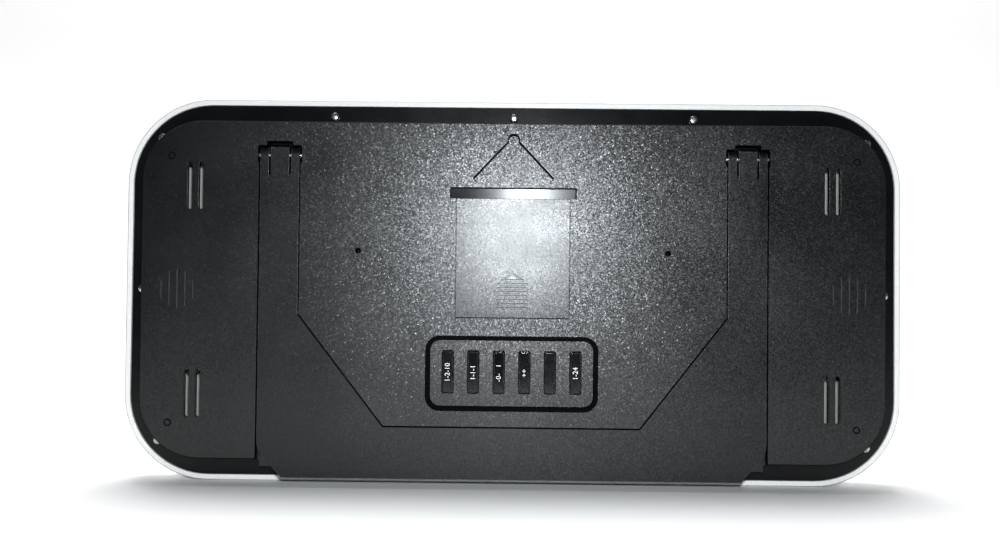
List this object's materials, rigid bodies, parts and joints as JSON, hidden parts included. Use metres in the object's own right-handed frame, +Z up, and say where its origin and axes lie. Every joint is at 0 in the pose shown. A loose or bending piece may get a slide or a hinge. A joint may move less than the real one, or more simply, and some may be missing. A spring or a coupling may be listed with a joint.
{
  "type": "large lcd clock",
  "caption": "Wide flat LCD clock with rounded corners: display in front, and a raised black back with a fold-out stand, sliding battery door, push buttons and a hanging recess.",
  "frame": {"origin": "centre of the housing's flat bottom, which it stands on", "axes": "+X to the right as seen from the front, +Y out of the back, +Z up; the display faces -Y"},
  "size_m": [0.4, 0.036, 0.197],
  "materials": {
    "housing_light": "satin silver-white",
    "clear_pane": "clear, polished",
    "tape": "thin foam tape",
    "lcd_glass": "clear, polished",
    "lcd_segments": "dark layer",
    "reflector": "pale grey-green film",
    "carrier_white": "moulded",
    "contact_rubber": "matte",
    "circuit_board": "solder mask",
    "resin": "glossy drop",
    "steel": "plated",
    "capacitor_sleeve": "sleeved",
    "shell_black": "coarse moulded grain",
    "stand_black": "fine satin grain",
    "cell_jacket": "plain printed jacket",
    "spring_steel": "plated",
    "switch_black": "moulded",
    "cable_film": "flexible film",
    "lead_jacket": "insulated wire",
    "cap_black": "glossy",
    "plunger_ivory": "moulded"
  },
  "bodies": {
    "root": {"front_bezel": "housing_light", "housing_posts": "housing_light", "front_pane": "clear_pane", "pane_tape": "tape", "lcd_front_glass": "lcd_glass", "lcd_segments": "lcd_segments", "lcd_rear_glass": "lcd_glass", "lcd_reflector": "reflector", "lcd_carrier": "carrier_white", "connector_strip": "contact_rubber", "main_board": "circuit_board", "clock_chip": "resin", "quartz_crystal": "steel", "capacitors": "capacitor_sleeve", "board_screws": "steel", "carrier_screws": "steel", "back_shell": "shell_black", "shell_screws": "steel", "hinge_pins": "steel", "battery_1": "cell_jacket", "battery_2": "cell_jacket", "battery_3": "cell_jacket", "battery_springs": "spring_steel", "battery_contacts": "spring_steel", "switches": "switch_black", "button_board": "circuit_board", "button_board_screws": "steel", "flat_cable": "cable_film", "buzzer": "switch_black", "temperature_sensor": "circuit_board", "battery_leads": "lead_jacket", "buzzer_leads": "lead_jacket", "sensor_leads": "lead_jacket"},
    "stand": {"stand": "stand_black"},
    "battery_door": {"battery_door": "stand_black"},
    "button_1": {"button_1": "cap_black", "plunger_1": "plunger_ivory"},
    "button_2": {"button_2": "cap_black", "plunger_2": "plunger_ivory"},
    "button_3": {"button_3": "cap_black", "plunger_3": "plunger_ivory"},
    "button_4": {"button_4": "cap_black", "plunger_4": "plunger_ivory"},
    "button_5": {"button_5": "cap_black", "plunger_5": "plunger_ivory"},
    "button_6": {"button_6": "cap_black", "plunger_6": "plunger_ivory"}
  },
  "joints": [
    {"name": "stand_hinge", "type": "hinge", "parent": "root", "child": "stand", "pos_m": [0, 0.0138, 0.1665], "axis": [1, 0, 0], "range_deg": [0, 30]},
    {"name": "battery_door_slide", "type": "slide", "parent": "root", "child": "battery_door", "axis": [0, 0, 1], "range_m": [0, 0.005]},
    {"name": "button_1_press", "type": "slide", "parent": "root", "child": "button_1", "axis": [0, -1, 0], "range_m": [0, 0.0008], "stiffness_N_per_m": 1000, "springref_m": -0.0008},
    {"name": "button_2_press", "type": "slide", "parent": "root", "child": "button_2", "axis": [0, -1, 0], "range_m": [0, 0.0008], "stiffness_N_per_m": 1000, "springref_m": -0.0008},
    {"name": "button_3_press", "type": "slide", "parent": "root", "child": "button_3", "axis": [0, -1, 0], "range_m": [0, 0.0008], "stiffness_N_per_m": 1000, "springref_m": -0.0008},
    {"name": "button_4_press", "type": "slide", "parent": "root", "child": "button_4", "axis": [0, -1, 0], "range_m": [0, 0.0008], "stiffness_N_per_m": 1000, "springref_m": -0.0008},
    {"name": "button_5_press", "type": "slide", "parent": "root", "child": "button_5", "axis": [0, -1, 0], "range_m": [0, 0.0008], "stiffness_N_per_m": 1000, "springref_m": -0.0008},
    {"name": "button_6_press", "type": "slide", "parent": "root", "child": "button_6", "axis": [0, -1, 0], "range_m": [0, 0.0008], "stiffness_N_per_m": 1000, "springref_m": -0.0008}
  ]
}
